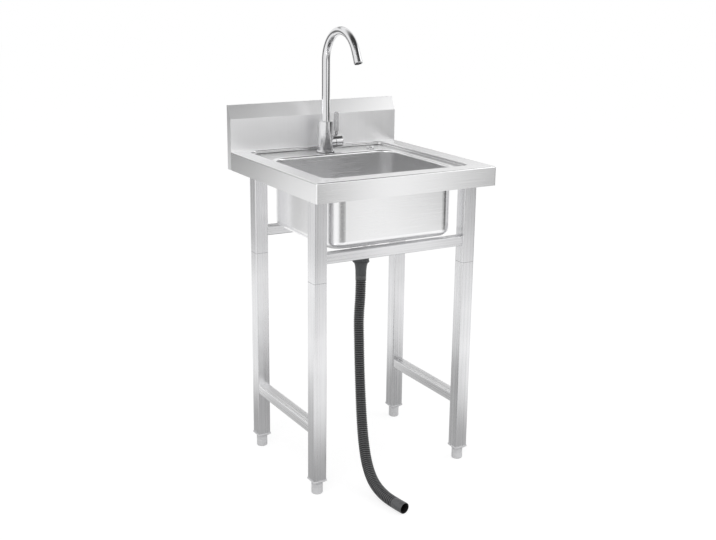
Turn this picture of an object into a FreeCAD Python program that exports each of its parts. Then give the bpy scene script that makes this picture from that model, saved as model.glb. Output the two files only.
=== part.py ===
import FreeCAD, Part
import math
import os
import Sketcher
from FreeCAD import Placement, Rotation, Vector

# Free-standing kitchen sink unit. Millimetres, +Z up, front towards -Y.
# The origin is on the floor below the middle of the deck.

drivingSizes = {
    # deck, pressed from one sheet
    "deckWidth": 500,
    "deckDepth": 500,
    "deckTop": 800,
    "sheetGauge": 1.5,
    "apronHeight": 48,
    "apronReturn": 12,
    "rimSide": 45,
    "rimFront": 45,
    "rimRear": 6,
    "ledgeDrop": 9,
    "recessCorner": 27,
    "pressRadius": 3,
    # splashback, folded from one sheet
    "splashThick": 22,
    "splashUpright": 85,
    "splashHeight": 120,
    "splashCrest": 4,
    "bendRadius": 1.4,
    # deep drawn bowl
    "bowlWidth": 360,
    "bowlLength": 323,
    "bowlSetback": 66,
    "bowlDepth": 173.5,
    "bowlCorner": 43,
    "bowlFloorRadius": 20,
    "bowlLip": 8,
    "lipRadius": 6,
    "sumpMargin": 2,
    "sumpDrop": 3,
    # frame of square tube
    "legSide": 35,
    "legGauge": 1.5,
    "tubeCorner": 3,
    "legInset": 20,
    "legFrontInset": 50,
    "legRearInset": 92,
    "seamDrop": 44,
    "upperRailSide": 25,
    "upperRailGap": 0.5,
    "sideRailWidth": 30,
    "sideRailHeight": 25,
    "sideRailTop": 182,
    "channelGauge": 2,
    "channelHeight": 24,
    "joinerLength": 80,
    "joinerGauge": 3,
    "joinerCollar": 1,
    # feet
    "legBottom": 38.5,
    "plugProud": 1.5,
    "plugFlange": 3,
    "plugTaper": 4.5,
    "plugTail": 30,
    "footRadius": 14.25,
    "studRadius": 5,
    "studLength": 44,
    # waste fitting and strainer
    "cupRadius": 42,
    "cupWall": 1.5,
    "cupDepth": 40,
    "wasteFlangeWidth": 14,
    "wasteGasket": 1,
    "spigotRadius": 19,
    "spigotWall": 2,
    "spigotLength": 40,
    "lockNutWall": 8,
    "lockNutHeight": 15,
    "lockWasher": 3.5,
    "basketWall": 1,
    "basketDepth": 27,
    "basketHoleRadius": 2.2,
    "basketSlotWidth": 3,
    "basketSlotHeight": 13,
    "basketSlotFoot": 8,
    "sealRadius": 24,
    "sealThick": 4,
    "postRadius": 3,
    "knobRadius": 8,
    # hose
    "hoseNutWall": 3,
    "hoseNutHeight": 22,
    "hoseNutLip": 2.5,
    "hoseCrest": 14.2,
    "hoseRoot": 12.7,
    "hoseBore": 11,
    "hoseFlangeThick": 4,
    "hoseCuffLength": 34,
    # tap
    "tapSetback": 56,
    "tapBodyRadius": 20,
    "tapBodyHeight": 78,
    "baseRingProud": 4.5,
    "baseRingHeight": 3.5,
    "tapGasket": 1.5,
    "tapHoleRadius": 14,
    "shankRadius": 10.48,
    "shankBore": 6.5,
    "shankLength": 56,
    "shankEngage": 8,
    "supplyThread": 30,
    "threadRelief": 3,
    "tapWasher": 2,
    "tapNutWall": 5.52,
    "tapNutHeight": 8,
    "barrelHeight": 27,
    "barrelWall": 4,
    "barrelReach": 24,
    "cartridgeRadius": 13,
    "bonnetLength": 5,
    "inletRadius": 4,
    "stemFoot": 6,
    "stemRadius": 4.5,
    "capProud": 1,
    "capLength": 22,
    "capEndWall": 6,
    "capScrewRadius": 2.5,
    "bladeWidth": 12.5,
    "bladeThick": 4.5,
    "bladeFoot": 25,
    "bladeTop": 78,
    "bladePinRadius": 3,
    "spoutRadius": 10.75,
    "spoutWall": 1.5,
    "bushWall": 3,
    "socketDepth": 28,
    "spoutRise": 240,
    "spoutBend": 82,
    "spoutSweep": 154,
    "spoutTail": 24,
    "aeratorLength": 9,
    "aeratorHoleRadius": 1.2,
    # cover over the spare hole in the tap ledge
    "coverOffset": 139,
    "coverRadius": 10,
    "coverHeight": 5.5,
    "coverStud": 3,
    "coverNut": 4,
    # gaps
    "rideGap": 0.3,
    "runFit": 0.05,
}

document = FreeCAD.newDocument("SinkUnit")
sheet = document.addObject("Spreadsheet::Sheet", "Sizes")


class Size:
    """A measure together with the formula that ties it to the sheet."""

    def __init__(self, number, formula):
        self.number = float(number)
        self.formula = formula

    def __add__(self, other):
        other = asSize(other)
        return Size(self.number + other.number, f"({self.formula} + {other.formula})")

    def __sub__(self, other):
        other = asSize(other)
        return Size(self.number - other.number, f"({self.formula} - {other.formula})")

    def __mul__(self, other):
        other = asSize(other)
        return Size(self.number * other.number, f"({self.formula} * {other.formula})")

    def __truediv__(self, other):
        other = asSize(other)
        return Size(self.number / other.number, f"({self.formula} / {other.formula})")

    def __radd__(self, other):
        return asSize(other) + self

    def __rsub__(self, other):
        return asSize(other) - self

    def __neg__(self):
        return Size(-self.number, f"(0 - {self.formula})")

    def __float__(self):
        return self.number


def asSize(value):
    if isinstance(value, Size):
        return value
    return Size(value, f"({float(value)})")


def root(value):
    return Size(math.sqrt(value.number), f"sqrt({value.formula})")


def sine(angle):
    return Size(math.sin(math.radians(angle.number)), f"sin({angle.formula} * 1 deg)")


def cosine(angle):
    return Size(math.cos(math.radians(angle.number)), f"cos({angle.formula} * 1 deg)")


class Named:
    """The driving sizes by name."""


size = Named()
for row, (name, number) in enumerate(drivingSizes.items(), start=1):
    sheet.set(f"A{row}", name)
    sheet.set(f"B{row}", str(number))
    sheet.setAlias(f"B{row}", name)
    setattr(size, name, Size(number, f"Sizes.{name}"))
document.recompute()


# helpers

subParts = []


def newBody(label, place=None):
    """An empty body, moved to its place in the unit by bound offsets."""
    body = document.addObject("PartDesign::Body", label)
    body.Label = label
    if place:
        for axis, offset in zip("xyz", place):
            bind(body, f"Placement.Base.{axis}", offset)
    subParts.append(body)
    return body


def bind(thing, path, value):
    thing.setExpression(path, asSize(value).formula)


def sketchOn(body, plane, offset=0):
    """A sketch on one of the body's origin planes, pushed along its normal."""
    support = [part for part in body.Origin.OriginFeatures if part.Role == plane + "_Plane"][0]
    sketch = body.newObject("Sketcher::SketchObject", body.Label + "_sketch")
    sketch.AttachmentSupport = (support, [""])
    sketch.MapMode = "FlatFace"
    sketch.AttachmentOffset = Placement(Vector(0, 0, float(offset)), Rotation())
    bind(sketch, "AttachmentOffset.Base.z", offset)
    return sketch


def hold(sketch, kind, geometry, point, value):
    """One dimension of a sketch, from its origin, bound to the sheet."""
    if kind == "Radius":
        index = sketch.addConstraint(Sketcher.Constraint(kind, geometry, float(value)))
    else:
        index = sketch.addConstraint(Sketcher.Constraint(kind, -1, 1, geometry, point, float(value)))
    bind(sketch, f"Constraints[{index}]", value)


def holdPoint(sketch, geometry, point, place):
    hold(sketch, "DistanceX", geometry, point, place[0])
    hold(sketch, "DistanceY", geometry, point, place[1])


def outline(sketch, points):
    """Closed outline of straight edges through bound points."""
    spots = [Vector(float(a), float(b), 0) for a, b in points]
    edges = []
    for here, there in zip(spots, spots[1:] + spots[:1]):
        edges.append(sketch.addGeometry(Part.LineSegment(here, there), False))
    for edge, following in zip(edges, edges[1:] + edges[:1]):
        sketch.addConstraint(Sketcher.Constraint("Coincident", edge, 2, following, 1))
    for edge, place in zip(edges, points):
        holdPoint(sketch, edge, 1, place)


def disc(sketch, radius, centre=(0, 0)):
    middle = Vector(float(centre[0]), float(centre[1]), 0)
    circle = sketch.addGeometry(Part.Circle(middle, Vector(0, 0, 1), float(radius)), False)
    hold(sketch, "Radius", circle, None, radius)
    holdPoint(sketch, circle, 3, centre)


def roundedRectangle(sketch, low, high, corner):
    """Rectangle between two corners with one radius all round."""
    left, bottom = float(low[0]), float(low[1])
    right, top = float(high[0]), float(high[1])
    bend = float(corner)
    centres = [(low[0] + corner, low[1] + corner), (high[0] - corner, low[1] + corner),
               (high[0] - corner, high[1] - corner), (low[0] + corner, high[1] - corner)]
    starts = [180, 270, 0, 90]
    runs = [((left + bend, bottom), (right - bend, bottom)), ((right, bottom + bend), (right, top - bend)),
            ((right - bend, top), (left + bend, top)), ((left, top - bend), (left, bottom + bend))]
    arcs = []
    lines = []
    for centre, start, run in zip(centres, starts, runs):
        circle = Part.Circle(Vector(float(centre[0]), float(centre[1]), 0), Vector(0, 0, 1), bend)
        turn = Part.ArcOfCircle(circle, math.radians(start), math.radians(start + 90))
        arcs.append(sketch.addGeometry(turn, False))
        lines.append(sketch.addGeometry(Part.LineSegment(Vector(*run[0], 0), Vector(*run[1], 0)), False))
    for index in range(4):
        sketch.addConstraint(Sketcher.Constraint("Tangent", arcs[index], 2, lines[index], 1))
        sketch.addConstraint(Sketcher.Constraint("Tangent", lines[index], 2, arcs[(index + 1) % 4], 1))
        hold(sketch, "Radius", arcs[index], None, corner)
        holdPoint(sketch, arcs[index], 3, centres[index])


def pad(sketch, length, both=False):
    body = sketch.getParentGeoFeatureGroup()
    feature = body.newObject("PartDesign::Pad", body.Label + "_pad")
    feature.Profile = sketch
    bind(feature, "Length", length)
    if both:
        feature.SideType = "Symmetric"
    return feature


def pocket(sketch, length):
    """Cut along the sketch's normal by a bound length."""
    body = sketch.getParentGeoFeatureGroup()
    feature = body.newObject("PartDesign::Pocket", body.Label + "_pocket")
    feature.Profile = sketch
    feature.Reversed = True
    bind(feature, "Length", length)
    return feature


def turned(sketch, kind="PartDesign::Revolution"):
    """Full turn of the sketch about its own vertical axis."""
    body = sketch.getParentGeoFeatureGroup()
    feature = body.newObject(kind, body.Label + "_turned")
    feature.Profile = sketch
    feature.ReferenceAxis = (sketch, ["V_Axis"])
    feature.Angle = 360
    return feature


def around(body, feature, count):
    """Repeat a feature round the body's own vertical axis."""
    pattern = body.newObject("PartDesign::PolarPattern", body.Label + "_pattern")
    pattern.Originals = [feature]
    pattern.Axis = ([part for part in body.Origin.OriginFeatures if part.Role == "Z_Axis"][0], [""])
    pattern.Angle = 360
    pattern.Occurrences = count
    body.Tip = pattern
    return pattern


def rounded(body, radius, chosen):
    """Round the edges of the body's last feature that pass the test."""
    document.recompute()
    base = body.Tip
    names = [f"Edge{index + 1}" for index, edge in enumerate(base.Shape.Edges) if chosen(edge)]
    if not names:
        raise RuntimeError(f"{body.Label}: no edge to round")
    feature = body.newObject("PartDesign::Fillet", body.Label + "_rounded")
    feature.Base = (base, names)
    bind(feature, "Radius", radius)
    body.Tip = feature
    return feature


def near(value, target):
    return abs(value - float(target)) < 0.01


def flatAt(edge, height):
    box = edge.BoundBox
    return near(box.ZMin, height) and near(box.ZMax, height)


def within(edge, low, high):
    """Whether the edge lies inside a rectangle of the plan, its border included."""
    box = edge.BoundBox
    slack = 0.01
    return (box.XMin > float(low[0]) - slack and box.XMax < float(high[0]) + slack
            and box.YMin > float(low[1]) - slack and box.YMax < float(high[1]) + slack)


def tubeBody(label, plane, side, across, length, gauge, offset=0, place=None):
    """Square or oblong tube with round corners, extruded along a plane's normal."""
    body = newBody(label, place)
    sketch = sketchOn(body, plane, offset)
    roundedRectangle(sketch, (-side / 2, -across / 2), (side / 2, across / 2), size.tubeCorner)
    innerX = side / 2 - gauge
    innerY = across / 2 - gauge
    roundedRectangle(sketch, (-innerX, -innerY), (innerX, innerY), size.tubeCorner - gauge)
    pad(sketch, length)
    return body


# places

halfWidth = size.deckWidth / 2
halfDepth = size.deckDepth / 2
gauge = size.sheetGauge
apronBottom = size.deckTop - size.apronHeight
splashFace = halfDepth - size.splashThick
deckBack = splashFace + gauge
ledgeTop = size.deckTop - size.ledgeDrop
ledgeUnder = ledgeTop - gauge
recessLow = (size.rimSide - halfWidth, size.rimFront - halfDepth)
recessHigh = (halfWidth - size.rimSide, splashFace - size.rimRear)
bowlFrontY = size.bowlSetback - halfDepth
bowlLow = (-size.bowlWidth / 2, bowlFrontY)
bowlHigh = (size.bowlWidth / 2, bowlFrontY + size.bowlLength)
bowlUnder = ledgeTop - size.bowlDepth
wasteFlange = size.cupRadius + size.wasteFlangeWidth
sumpRadius = wasteFlange + size.sumpMargin
upperRailTop = bowlUnder - size.upperRailGap
seamHeight = upperRailTop - size.upperRailSide - size.seamDrop
bowlFloor = bowlUnder + gauge
drainY = bowlFrontY + size.bowlLength / 2
sumpFloor = bowlFloor - size.sumpDrop
tapY = splashFace - size.tapSetback
legX = halfWidth - size.legInset - size.legSide / 2
legFrontY = size.legFrontInset + size.legSide / 2 - halfDepth
legRearY = halfDepth - size.legRearInset - size.legSide / 2
channelUnder = ledgeUnder - size.channelGauge
corners = {
    "front_left": (-legX, legFrontY),
    "front_right": (legX, legFrontY),
    "rear_left": (-legX, legRearY),
    "rear_right": (legX, legRearY),
}


# deck and splash

def grown(low, high, by):
    return (low[0] - by, low[1] - by), (high[0] + by, high[1] + by)


def makeDeck():
    body = newBody("deck_top")
    sheetBlock = sketchOn(body, "XY", apronBottom)
    outline(sheetBlock, [(-halfWidth, -halfDepth), (halfWidth, -halfDepth), (halfWidth, deckBack),
                         (-halfWidth, deckBack)])
    pad(sheetBlock, size.apronHeight)

    insideX = halfWidth - gauge
    inside = sketchOn(body, "XY", apronBottom + gauge)
    outline(inside, [(-insideX, gauge - halfDepth), (insideX, gauge - halfDepth), (insideX, halfDepth),
                     (-insideX, halfDepth)])
    pocket(inside, size.apronHeight - gauge * 2)
    openX = insideX - size.apronReturn
    openY = gauge + size.apronReturn - halfDepth
    belowReturn = sketchOn(body, "XY", apronBottom)
    outline(belowReturn, [(-openX, openY), (openX, openY), (openX, halfDepth), (-openX, halfDepth)])
    pocket(belowReturn, gauge)

    pan = sketchOn(body, "XY", ledgeUnder)
    panLow, panHigh = grown(recessLow, recessHigh, gauge)
    roundedRectangle(pan, panLow, panHigh, size.recessCorner + gauge)
    pad(pan, size.ledgeDrop)
    recess = sketchOn(body, "XY", ledgeTop)
    roundedRectangle(recess, recessLow, recessHigh, size.recessCorner)
    pocket(recess, size.ledgeDrop)
    opening = sketchOn(body, "XY", ledgeUnder)
    openLow, openHigh = grown(bowlLow, bowlHigh, size.bowlLip)
    roundedRectangle(opening, openLow, openHigh, size.bowlCorner + size.bowlLip)
    pocket(opening, gauge)
    holes = sketchOn(body, "XY", ledgeUnder)
    disc(holes, size.tapHoleRadius, (0, tapY))
    disc(holes, size.coverStud * 2, (size.coverOffset, tapY))
    pocket(holes, gauge)

    rounded(body, size.pressRadius, lambda edge: flatAt(edge, size.deckTop)
            and within(edge, recessLow, recessHigh))
    rounded(body, size.pressRadius, lambda edge: flatAt(edge, ledgeTop)
            and not within(edge, openLow, openHigh) and not near(edge.BoundBox.XMin, -size.tapHoleRadius)
            and edge.BoundBox.DiagonalLength > float(size.pressRadius) * 6)
    rounded(body, size.pressRadius, lambda edge: (flatAt(edge, size.deckTop)
            and (near(edge.BoundBox.YMax, -halfDepth) or near(abs(edge.BoundBox.Center.x), halfWidth)))
            or (near(edge.BoundBox.YMax, -halfDepth) and near(abs(edge.BoundBox.Center.x), halfWidth)
                and near(edge.BoundBox.XLength, 0)))
    return body


slopeRun = size.splashThick - size.splashCrest
slopeRise = size.splashHeight - size.splashUpright
bendHeight = size.deckTop + size.splashUpright
splashTop = size.deckTop + size.splashHeight


def foldLines(edge):
    """The long bends of the splashback, which run along X."""
    box = edge.BoundBox
    bends = [(splashFace, bendHeight), (halfDepth - size.splashCrest, splashTop), (halfDepth, splashTop)]
    along = near(box.YLength, 0) and near(box.ZLength, 0)
    return along and any(near(box.YMin, y) and near(box.ZMin, z) for y, z in bends)


def makeSplashback():
    mitre = gauge * slopeRun / (root(slopeRun * slopeRun + slopeRise * slopeRise) + slopeRise)
    innerBend = bendHeight - mitre
    innerTop = splashTop - gauge
    body = newBody("splashback")
    section = sketchOn(body, "YZ", gauge - halfWidth)
    outline(section, [
        (splashFace, size.deckTop),
        (splashFace, bendHeight),
        (halfDepth - size.splashCrest, splashTop),
        (halfDepth, splashTop),
        (halfDepth, apronBottom),
        (halfDepth - size.apronReturn, apronBottom),
        (halfDepth - size.apronReturn, apronBottom + gauge),
        (halfDepth - gauge, apronBottom + gauge),
        (halfDepth - gauge, innerTop),
        (deckBack + (innerTop - innerBend) * slopeRun / slopeRise, innerTop),
        (deckBack, innerBend),
        (deckBack, size.deckTop),
    ])
    pad(section, size.deckWidth - gauge * 2)
    rounded(body, size.bendRadius, foldLines)
    return body


def makeSplashEnd(label, offset):
    body = newBody(label)
    plate = sketchOn(body, "YZ", offset)
    outline(plate, [
        (deckBack, apronBottom),
        (deckBack, size.deckTop),
        (splashFace, size.deckTop),
        (splashFace, bendHeight),
        (halfDepth - size.splashCrest, splashTop),
        (halfDepth, splashTop),
        (halfDepth, apronBottom),
    ])
    pad(plate, gauge)
    rounded(body, size.bendRadius, foldLines)
    return body


# bowl

def makeBowl():
    body = newBody("bowl")
    wall = sketchOn(body, "XY", bowlUnder)
    roundedRectangle(wall, bowlLow, bowlHigh, size.bowlCorner)
    pad(wall, size.bowlDepth)
    lip = sketchOn(body, "XY", ledgeUnder)
    lipLow, lipHigh = grown(bowlLow, bowlHigh, size.bowlLip)
    roundedRectangle(lip, lipLow, lipHigh, size.bowlCorner + size.bowlLip)
    pad(lip, gauge)
    rounded(body, size.lipRadius - gauge, lambda edge: flatAt(edge, ledgeUnder)
            and within(edge, bowlLow, bowlHigh))
    inside = sketchOn(body, "XY", bowlFloor)
    innerLow, innerHigh = grown(bowlLow, bowlHigh, -gauge)
    roundedRectangle(inside, innerLow, innerHigh, size.bowlCorner - gauge)
    pocket(inside, size.bowlDepth)
    rounded(body, size.bowlFloorRadius - gauge, lambda edge: flatAt(edge, bowlFloor))
    rounded(body, size.bowlFloorRadius, lambda edge: flatAt(edge, bowlUnder))
    rounded(body, size.lipRadius, lambda edge: flatAt(edge, ledgeTop)
            and within(edge, innerLow, innerHigh))

    sump = sketchOn(body, "XY", sumpFloor - gauge)
    disc(sump, sumpRadius + gauge, (0, drainY))
    pad(sump, size.sumpDrop)
    dish = sketchOn(body, "XY", sumpFloor)
    disc(dish, sumpRadius, (0, drainY))
    pocket(dish, size.sumpDrop)
    hole = sketchOn(body, "XY", sumpFloor - gauge)
    disc(hole, size.cupRadius + size.rideGap, (0, drainY))
    pocket(hole, gauge)
    rounded(body, gauge / 2, lambda edge: flatAt(edge, bowlFloor)
            and near(edge.BoundBox.XMax, sumpRadius))
    return body


# frame

def makeChannel(label, centreX):
    """Inverted U under the ledge; the leg tops stand between its flanges."""
    body = newBody(label, (centreX, 0, 0))
    outer = size.legSide / 2 + size.channelGauge
    inner = size.legSide / 2
    foot = ledgeUnder - size.channelHeight
    section = sketchOn(body, "XZ", gauge - halfDepth)
    outline(section, [(-outer, foot), (-outer, ledgeUnder), (outer, ledgeUnder), (outer, foot),
                      (inner, foot), (inner, channelUnder), (-inner, channelUnder), (-inner, foot)])
    pad(section, size.deckDepth - gauge * 2)
    return body


def makeLegs():
    collar = size.joinerCollar / 2
    for name, (x, y) in corners.items():
        tubeBody(f"leg_upper_{name}", "XY", size.legSide, size.legSide,
                 channelUnder - seamHeight - collar, size.legGauge, seamHeight + collar,
                 (x, y, 0))
        tubeBody(f"leg_lower_{name}", "XY", size.legSide, size.legSide,
                 seamHeight - collar - size.legBottom, size.legGauge, size.legBottom, (x, y, 0))


def makeRails():
    span = legX * 2 - size.legSide
    height = upperRailTop - size.upperRailSide / 2
    for label, y in (("front_rail", legFrontY), ("rear_rail", legRearY)):
        tubeBody(label, "YZ", size.upperRailSide, size.upperRailSide, span, size.legGauge,
                 0, (-span / 2, y, height))
    reach = legRearY - legFrontY - size.legSide
    back = legRearY - size.legSide / 2
    height = size.sideRailTop - size.sideRailHeight / 2
    for label, x in (("side_rail_left", -legX), ("side_rail_right", legX)):
        tubeBody(label, "XZ", size.sideRailWidth, size.sideRailHeight, reach, size.legGauge,
                 0, (x, back, height))


def makeJoiner(label, x, y):
    """Sleeve inside the leg, with a thin collar that shows as the seam."""
    inside = size.legSide / 2 - size.legGauge
    hollow = inside - size.joinerGauge
    edge = size.legSide / 2
    body = newBody(label, (x, y, 0))
    sleeve = sketchOn(body, "XY", seamHeight - size.joinerLength / 2)
    roundedRectangle(sleeve, (-inside, -inside), (inside, inside), size.tubeCorner - size.legGauge)
    pad(sleeve, size.joinerLength)
    collar = sketchOn(body, "XY", seamHeight - size.joinerCollar / 2)
    roundedRectangle(collar, (-edge, -edge), (edge, edge), size.tubeCorner)
    pad(collar, size.joinerCollar)
    bore = sketchOn(body, "XY", seamHeight - size.joinerLength / 2)
    outline(bore, [(-hollow, -hollow), (hollow, -hollow), (hollow, hollow), (-hollow, hollow)])
    pocket(bore, size.joinerLength)
    return body


def makeEndPlug(label, x, y):
    """Square plug in the leg's end: flange, taper towards the foot, threaded bore."""
    inside = size.legSide / 2 - size.legGauge
    flange = size.legSide / 2 + size.plugProud
    neck = size.footRadius + size.rideGap
    flangeUnder = size.legBottom - size.plugFlange
    tipHeight = flangeUnder - size.plugTaper
    body = newBody(label, (x, y, 0))
    tail = sketchOn(body, "XY", size.legBottom)
    roundedRectangle(tail, (-inside, -inside), (inside, inside), size.tubeCorner - size.legGauge)
    pad(tail, size.plugTail)
    plate = sketchOn(body, "XY", flangeUnder)
    roundedRectangle(plate, (-flange, -flange), (flange, flange), size.tubeCorner)
    pad(plate, size.plugFlange)
    wide = sketchOn(body, "XY", flangeUnder)
    roundedRectangle(wide, (-flange, -flange), (flange, flange), size.tubeCorner)
    narrow = sketchOn(body, "XY", tipHeight)
    roundedRectangle(narrow, (-neck, -neck), (neck, neck), size.footRadius / 2)
    taper = body.newObject("PartDesign::AdditiveLoft", label + "_taper")
    taper.Profile = wide
    taper.Sections = [narrow]
    taper.Ruled = True
    bore = sketchOn(body, "XY", tipHeight)
    disc(bore, size.studRadius + size.runFit)
    pocket(bore, size.legBottom + size.plugTail - tipHeight)
    return body


def makeFoot(label, x, y):
    """Round screw foot with a rounded sole, a grip groove and its stud."""
    top = size.legBottom - size.plugFlange - size.plugTaper - size.rideGap
    groove = top * 0.62
    radius = size.footRadius
    body = newBody(label, (x, y, 0))
    profile = sketchOn(body, "XZ")
    outline(profile, [
        (0, 0),
        (radius - 2.2, 0),
        (radius - 0.6, 1),
        (radius, 3),
        (radius, groove - 1.4),
        (radius - 0.8, groove - 0.6),
        (radius - 0.8, groove + 0.6),
        (radius, groove + 1.4),
        (radius, top - 1.6),
        (radius - 1.6, top),
        (size.studRadius, top),
        (size.studRadius, top + size.studLength - 1),
        (size.studRadius - 1, top + size.studLength),
        (0, top + size.studLength),
    ])
    turned(profile)
    return body


# waste fitting

wasteFlangeUnder = sumpFloor + size.wasteGasket
cupUnder = wasteFlangeUnder - size.cupDepth
spigotEnd = cupUnder - size.spigotLength
cupInner = size.cupRadius - size.cupWall
cupFloor = cupUnder + size.cupWall
lockNutRadius = size.cupRadius + size.lockNutWall
hoseNutRadius = size.spigotRadius + size.hoseNutWall
hoseCuffTop = spigotEnd - size.hoseFlangeThick
hoseTop = hoseCuffTop - size.hoseCuffLength


def turnedBody(label, place, points):
    body = newBody(label, place)
    profile = sketchOn(body, "XZ")
    outline(profile, points)
    turned(profile)
    return body


def ring(label, place, inner, outer, low, high):
    """Plain washer or seal."""
    return turnedBody(label, place, [(inner, low), (outer, low), (outer, high), (inner, high)])


def makeWaste():
    place = (0, drainY, 0)
    ring("drain_gasket", place, size.cupRadius + size.rideGap, wasteFlange - 1, sumpFloor,
         wasteFlangeUnder)
    flangeTop = wasteFlangeUnder + size.cupWall
    spigotBore = size.spigotRadius - size.spigotWall
    turnedBody("drain_body", place, [
        (wasteFlange, wasteFlangeUnder),
        (wasteFlange - 0.8, flangeTop - 0.4),
        (size.cupRadius + 1, flangeTop),
        (cupInner + 0.8, flangeTop - 0.5),
        (cupInner, flangeTop - 2),
        (cupInner, cupFloor + 2),
        (cupInner - 2, cupFloor),
        (spigotBore + 1, cupFloor),
        (spigotBore, cupFloor - 1),
        (spigotBore, spigotEnd),
        (size.spigotRadius, spigotEnd),
        (size.spigotRadius, cupUnder - 2),
        (size.spigotRadius + 2, cupUnder),
        (size.cupRadius - 2, cupUnder),
        (size.cupRadius, cupUnder + 2),
        (size.cupRadius, wasteFlangeUnder),
    ])
    sumpUnder = sumpFloor - gauge
    washerUnder = sumpUnder - size.lockWasher
    ring("drain_washer", place, size.cupRadius, lockNutRadius + 3, washerUnder, sumpUnder)
    makeLockNut(place, washerUnder)


def makeLockNut(place, top):
    """Large nut on the cup, with grip notches round its rim."""
    body = newBody("drain_locknut", place)
    blank = sketchOn(body, "XY", top - size.lockNutHeight)
    disc(blank, lockNutRadius)
    disc(blank, size.cupRadius)
    pad(blank, size.lockNutHeight)
    notch = sketchOn(body, "XY", top - size.lockNutHeight)
    disc(notch, 3, (lockNutRadius + 1.2, 0))
    cut = pocket(notch, size.lockNutHeight)
    around(body, cut, 12)
    return body


def makeStrainer():
    """Lift-out basket: perforated cup, post with knob, rubber seal on the cup's floor."""
    place = (0, drainY, 0)
    sealUnder = cupFloor + size.rideGap
    sealTop = sealUnder + size.sealThick
    basketUnder = sealTop + 1
    rim = basketUnder + size.basketDepth
    outer = cupInner - 2.5
    wall = size.basketWall
    basket = turnedBody("strainer_basket", place, [
        (size.postRadius, basketUnder),
        (outer - 6, basketUnder),
        (outer - 1, basketUnder + 5),
        (outer, rim - wall),
        (cupInner - 0.5, rim - wall),
        (cupInner - 0.5, rim),
        (outer - wall, rim),
        (outer - 1 - wall, basketUnder + 5 + wall / 2),
        (outer - 6 - wall / 2, basketUnder + wall),
        (size.postRadius, basketUnder + wall),
    ])
    for share, count in ((0.32, 6), (0.61, 12)):
        hole = sketchOn(basket, "XY", basketUnder)
        disc(hole, size.basketHoleRadius, (outer * share, 0))
        around(basket, pocket(hole, wall), count)
    slot = sketchOn(basket, "YZ", 0)
    half = size.basketSlotWidth / 2
    slotFoot = basketUnder + size.basketSlotFoot
    slotTop = slotFoot + size.basketSlotHeight
    outline(slot, [(-half, slotFoot), (half, slotFoot), (half, slotTop), (-half, slotTop)])
    around(basket, pocket(slot, outer + wall), 16)

    knobTop = rim + 16
    turnedBody("strainer_post", place, [
        (0, sealUnder + 1),
        (size.postRadius, sealUnder + 1),
        (size.postRadius, knobTop - 9),
        (size.knobRadius - 2, knobTop - 6),
        (size.knobRadius, knobTop - 3.5),
        (size.knobRadius - 0.6, knobTop - 1),
        (size.knobRadius - 3, knobTop),
        (0, knobTop),
    ])
    turnedBody("strainer_seal", place, [
        (size.postRadius, sealUnder),
        (size.sealRadius - 1, sealUnder),
        (size.sealRadius, sealUnder + 1),
        (size.sealRadius - 2, sealTop - 1),
        (size.sealRadius - 6, sealTop),
        (size.postRadius + 3, basketUnder),
        (size.postRadius, basketUnder),
    ])


def makeHoseNut():
    """Coupling nut that clamps the cuff to the spigot, with twelve grip flutes."""
    bottom = hoseCuffTop
    body = newBody("hose_nut", (0, drainY, 0))
    profile = sketchOn(body, "XZ")
    outline(profile, [
        (size.hoseCrest + 2, bottom),
        (hoseNutRadius - 1, bottom),
        (hoseNutRadius, bottom + 1),
        (hoseNutRadius, bottom + 2.4),
        (hoseNutRadius - 1, bottom + 3),
        (hoseNutRadius - 1, bottom + size.hoseNutHeight - 1),
        (hoseNutRadius - 2, bottom + size.hoseNutHeight),
        (size.spigotRadius, bottom + size.hoseNutHeight),
        (size.spigotRadius, bottom + size.hoseNutLip),
        (size.hoseCrest + 2, bottom + size.hoseNutLip),
    ])
    turned(profile)
    flute = sketchOn(body, "XY", bottom + 5)
    disc(flute, 1.6, (hoseNutRadius, 0))
    around(body, pocket(flute, size.hoseNutHeight), 12)


def makeHoseCuff():
    """Moulded end of the hose: clamped flange, throat through the nut, flared neck."""
    lipTop = hoseCuffTop + size.hoseNutLip
    throat = size.hoseCrest + 1.7
    turnedBody("hose_cuff", (0, drainY, 0), [
        (size.hoseBore, hoseTop),
        (size.hoseCrest, hoseTop),
        (size.hoseCrest + 0.1, hoseTop + 9),
        (size.hoseCrest + 0.7, hoseTop + 17),
        (size.hoseCrest + 1.6, hoseTop + 24),
        (size.hoseCrest + 3.4, hoseTop + 30.5),
        (size.hoseCrest + 4.4, hoseCuffTop),
        (throat, hoseCuffTop),
        (throat, lipTop),
        (size.spigotRadius - 0.5, lipTop),
        (size.spigotRadius - 0.5, spigotEnd),
        (size.hoseBore, spigotEnd),
    ])


# ribbed hose

# Centre line of the hose, from below the cuff to its open end on the floor.
hoseRoute = [
    (0, -22.5, 499),
    (0, -22.5, 445),
    (-6, -24, 383),
    (-9.5, -34, 318),
    (-17, -51, 253),
    (-29, -78, 192),
    (-46.5, -116, 136),
    (-65, -159, 88.5),
    (-80.5, -203.5, 52),
    (-91, -252, 28.5),
    (-93, -303, 18),
    (-87.5, -348, 15.5),
    (-80.5, -383, 14.6),
]
ribPitch = 5.9
smoothTop = 13
smoothEnd = 36
ribShares = (0, 0.3, 0.5, 0.8)
boreSteps = 36


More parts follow.
